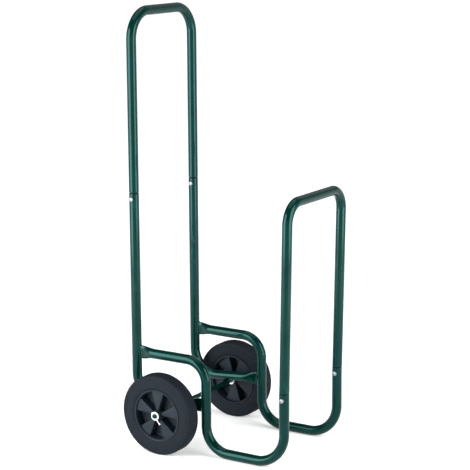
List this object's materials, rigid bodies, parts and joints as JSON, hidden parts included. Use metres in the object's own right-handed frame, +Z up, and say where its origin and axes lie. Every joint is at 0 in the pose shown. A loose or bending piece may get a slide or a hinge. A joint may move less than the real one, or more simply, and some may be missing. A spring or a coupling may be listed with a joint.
{
  "type": "firewood log rack",
  "caption": "Two-wheeled firewood rack of bent steel tube: tall handle bar, low front bar, stepped side frames and solid rubber tyres on plastic rims.",
  "frame": {"origin": "on the ground, midway between the two handle legs", "axes": "+X from the handle legs towards the front bar, +Y across the rack, +Z up"},
  "size_m": [0.453, 0.4048, 1.078],
  "materials": {
    "painted_steel": "gloss dark green powder coat",
    "zinc_steel": "bright zinc plate",
    "tyre_rubber": "matt dark grey solid rubber",
    "rim_plastic": "fine-grained black polypropylene",
    "bush_plastic": "natural nylon"
  },
  "bodies": {
    "frame": {"handle_bar": "painted_steel", "front_bar": "painted_steel", "rear_leg_left": "painted_steel", "rear_leg_right": "painted_steel", "side_rail_left": "painted_steel", "side_rail_right": "painted_steel", "wheel_axle": "painted_steel", "shelf_welds": "painted_steel", "brace_welds": "painted_steel", "axle_welds": "painted_steel", "joint_bolts": "zinc_steel", "joint_nuts": "zinc_steel", "wheel_washers": "zinc_steel", "split_pins": "zinc_steel"},
    "wheel_left": {"tyre_left": "tyre_rubber", "rim_left": "rim_plastic", "hub_bush_left": "bush_plastic"},
    "wheel_right": {"tyre_right": "tyre_rubber", "rim_right": "rim_plastic", "hub_bush_right": "bush_plastic"}
  },
  "joints": [
    {"name": "wheel_left_spin", "type": "hinge", "parent": "frame", "child": "wheel_left", "pos_m": [0.097, -0.174, 0.1], "axis": [0, 1, 0], "continuous": true},
    {"name": "wheel_right_spin", "type": "hinge", "parent": "frame", "child": "wheel_right", "pos_m": [0.097, 0.174, 0.1], "axis": [0, 1, 0], "continuous": true}
  ]
}
